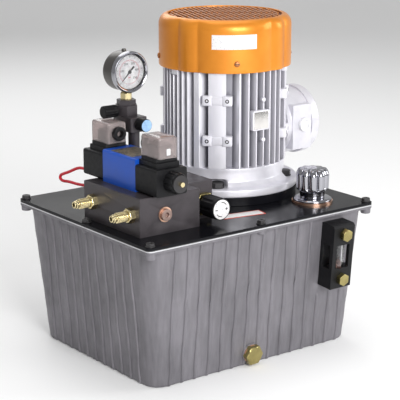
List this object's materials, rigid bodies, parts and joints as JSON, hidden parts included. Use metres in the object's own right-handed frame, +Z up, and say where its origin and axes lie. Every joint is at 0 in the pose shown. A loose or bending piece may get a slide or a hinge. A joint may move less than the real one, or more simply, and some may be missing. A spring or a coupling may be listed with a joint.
{
  "type": "hydraulic power unit",
  "caption": "Vertical motor and gear pump on a ribbed cast oil tank, with a solenoid valve manifold, pressure gauge, relief knob, breather and sight gauge.",
  "frame": {"origin": "centre of the tank's flat base, which rests on the floor", "axes": "+Z up along the motor axis, -Y the long front wall with the sight gauge and drain plug, -X the short wall under the hose ports"},
  "size_m": [0.404, 0.3279, 0.4376],
  "materials": {
    "cast_aluminium": "rough cast",
    "black_rubber": "matte",
    "black_paint": "satin",
    "black_steel": "blackened",
    "silver_paint": "silver enamel",
    "core_steel": "machined",
    "bright_steel": "ground",
    "zinc_steel": "bright zinc plate",
    "black_plastic": "moulded",
    "gold_paint": "metallic gold enamel",
    "pale_plastic": "moulded",
    "black_oxide": "blackened",
    "brass": "turned",
    "copper": "bright copper",
    "blue_paint": "gloss enamel",
    "clear_plastic": "smoky clear",
    "yellow_zinc": "yellow zinc plate",
    "grey_case": "satin",
    "chrome": "polished",
    "clear_glass": "clear",
    "white_dial": "printed scale",
    "red_sheath": "red sheath"
  },
  "bodies": {
    "housing": {"tank": "cast_aluminium", "tank_gasket": "black_rubber", "top_plate": "black_paint", "plate_screws": "black_steel", "bell_housing": "black_paint", "motor_flange": "silver_paint", "motor_bolts": "black_steel", "motor_frame": "silver_paint", "stator": "core_steel", "motor_bearings": "bright_steel", "rear_shield": "silver_paint", "fan_cowl": "gold_paint", "cover_screws": "zinc_steel", "terminal_box": "silver_paint", "terminal_cover": "silver_paint", "cable_plug": "pale_plastic", "pump_body": "cast_aluminium", "oil_pipes": "zinc_steel", "suction_strainer": "zinc_steel", "manifold_block": "black_oxide", "manifold_bolts": "black_steel", "port_fittings": "brass", "block_plug": "zinc_steel", "sealing_washers": "copper", "valve_body": "blue_paint", "spool_springs": "bright_steel", "solenoid_coils": "black_plastic", "armature_tubes": "black_steel", "coil_nuts": "black_plastic", "plug_housings": "clear_plastic", "plug_glands": "black_plastic", "relief_cartridge": "yellow_zinc", "gauge_block": "black_oxide", "gauge_adaptor": "black_oxide", "gauge_stem": "brass", "gauge_case": "grey_case", "gauge_bezel": "chrome", "gauge_window": "clear_glass", "gauge_dial": "white_dial", "breather_base": "chrome", "breather_gasket": "copper", "sight_frame": "black_plastic", "sight_tube": "clear_glass", "sight_bolts": "yellow_zinc", "drain_plug": "yellow_zinc", "red_lead": "red_sheath"},
    "rotor": {"rotor_core": "core_steel", "motor_shaft": "bright_steel", "cooling_fan": "black_plastic", "coupling": "bright_steel", "drive_gear": "bright_steel"},
    "driven_gear": {"driven_gear": "bright_steel"},
    "spool": {"valve_spool": "bright_steel"},
    "front_pin": {"front_override_pin": "brass"},
    "rear_pin": {"rear_override_pin": "brass"},
    "relief_knob": {"relief_knob": "black_plastic"},
    "switch_knob": {"switch_knob": "black_plastic"},
    "isolator_knob": {"isolator_knob": "black_plastic"},
    "needle": {"gauge_needle": "black_steel"},
    "breather_cap": {"breather_cap": "chrome"}
  },
  "joints": [
    {"name": "motor_spin", "type": "hinge", "parent": "housing", "child": "rotor", "pos_m": [0.07, 0.026, 0.3], "axis": [0, 0, 1], "continuous": true},
    {"name": "driven_gear_spin", "type": "hinge", "parent": "housing", "child": "driven_gear", "pos_m": [0.07, -0.0042, 0.096], "axis": [0, 0, 1], "continuous": true},
    {"name": "spool_slide", "type": "slide", "parent": "housing", "child": "spool", "axis": [0, 1, 0], "range_m": [-0.003, 0.003], "stiffness_N_per_m": 3000},
    {"name": "front_pin_press", "type": "slide", "parent": "housing", "child": "front_pin", "axis": [0, 1, 0], "range_m": [0, 0.003], "stiffness_N_per_m": 500, "springref_m": -0.001},
    {"name": "rear_pin_press", "type": "slide", "parent": "housing", "child": "rear_pin", "axis": [0, -1, 0], "range_m": [0, 0.003], "stiffness_N_per_m": 500, "springref_m": -0.001},
    {"name": "relief_knob_turn", "type": "hinge", "parent": "housing", "child": "relief_knob", "pos_m": [-0.05, -0.1, 0.2135], "axis": [0, -1, 0], "range_deg": [-720, 720]},
    {"name": "switch_knob_turn", "type": "hinge", "parent": "housing", "child": "switch_knob", "pos_m": [-0.0935, -0.015, 0.31], "axis": [0, -1, 0], "range_deg": [-720, 720]},
    {"name": "isolator_knob_turn", "type": "hinge", "parent": "housing", "child": "isolator_knob", "pos_m": [-0.12, 0.025, 0.3245], "axis": [-1, 0, 0], "range_deg": [-540, 0]},
    {"name": "needle_sweep", "type": "hinge", "parent": "housing", "child": "needle", "pos_m": [-0.0935, 0.017, 0.3746], "axis": [0, 1, 0], "range_deg": [0, 270], "stiffness_Nm_per_rad": 0.0005, "springref_deg": -11.46},
    {"name": "breather_cap_turn", "type": "hinge", "parent": "housing", "child": "breather_cap", "pos_m": [0.121, -0.1, 0.205], "axis": [0, 0, 1], "range_deg": [0, 60]}
  ],
  "couplings": [
    {"joint": "driven_gear_spin", "follows": "motor_spin", "ratio": -1}
  ]
}
